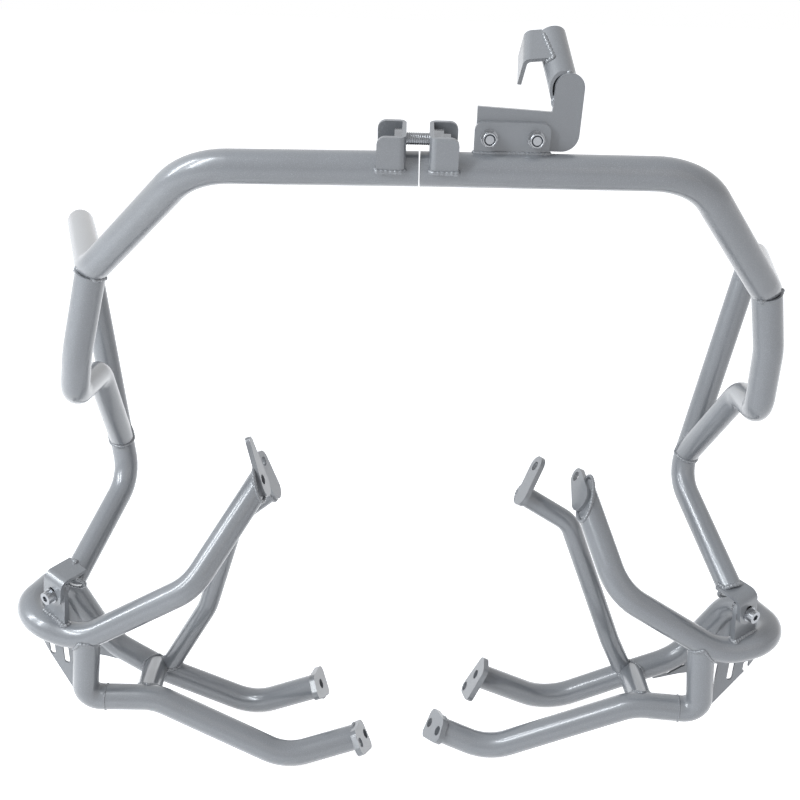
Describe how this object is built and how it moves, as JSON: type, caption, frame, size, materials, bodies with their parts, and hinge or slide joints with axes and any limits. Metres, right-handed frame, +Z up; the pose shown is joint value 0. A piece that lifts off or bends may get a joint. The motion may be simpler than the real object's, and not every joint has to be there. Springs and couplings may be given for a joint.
{
  "type": "motorcycle crash bars",
  "caption": "Pair of bent steel tube engine guards clamped together at the top centre, with slotted guard panels, flanged feet and a small hooked bracket.",
  "frame": {"origin": "under the middle of the pair, at the height of the lowest tubes", "axes": "+Z up, +X to the right of the view from the front, +Y rearwards; the two halves meet at the top centre"},
  "size_m": [0.8081, 0.3132, 0.7654],
  "materials": {
    "powder_coat": "satin silver-grey powder coat",
    "zinc": "bright zinc plate"
  },
  "bodies": {
    "root": {"bracket_bolts": "zinc", "bracket_hook": "powder_coat", "bracket_nuts": "zinc", "bracket_plate": "powder_coat", "bracket_tab": "powder_coat", "bracket_tube": "powder_coat", "bracket_washers": "zinc", "clamp_bolt": "zinc", "clamp_nut": "zinc", "left_arm_tab": "powder_coat", "left_clamp_channel": "powder_coat", "left_cross_tube": "powder_coat", "left_front_flange": "powder_coat", "left_front_lower_tube": "powder_coat", "left_guard_panel": "powder_coat", "left_hanger_tab": "powder_coat", "left_hoop_tube": "powder_coat", "left_loop_tube": "powder_coat", "left_main_tube": "powder_coat", "left_rear_arm": "powder_coat", "left_rear_flange": "powder_coat", "left_upright_tube": "powder_coat", "left_yoke_lug": "powder_coat", "left_yoke_strap": "powder_coat", "right_arm_tab": "powder_coat", "right_clamp_channel": "powder_coat", "right_cross_tube": "powder_coat", "right_front_flange": "powder_coat", "right_front_lower_tube": "powder_coat", "right_guard_panel": "powder_coat", "right_hanger_tab": "powder_coat", "right_hoop_tube": "powder_coat", "right_loop_tube": "powder_coat", "right_main_tube": "powder_coat", "right_rear_arm": "powder_coat", "right_rear_flange": "powder_coat", "right_upright_tube": "powder_coat", "right_yoke_lug": "powder_coat", "right_yoke_strap": "powder_coat", "yoke_bolts": "zinc", "yoke_nuts": "zinc", "yoke_washers": "zinc"}
  },
  "joints": []
}
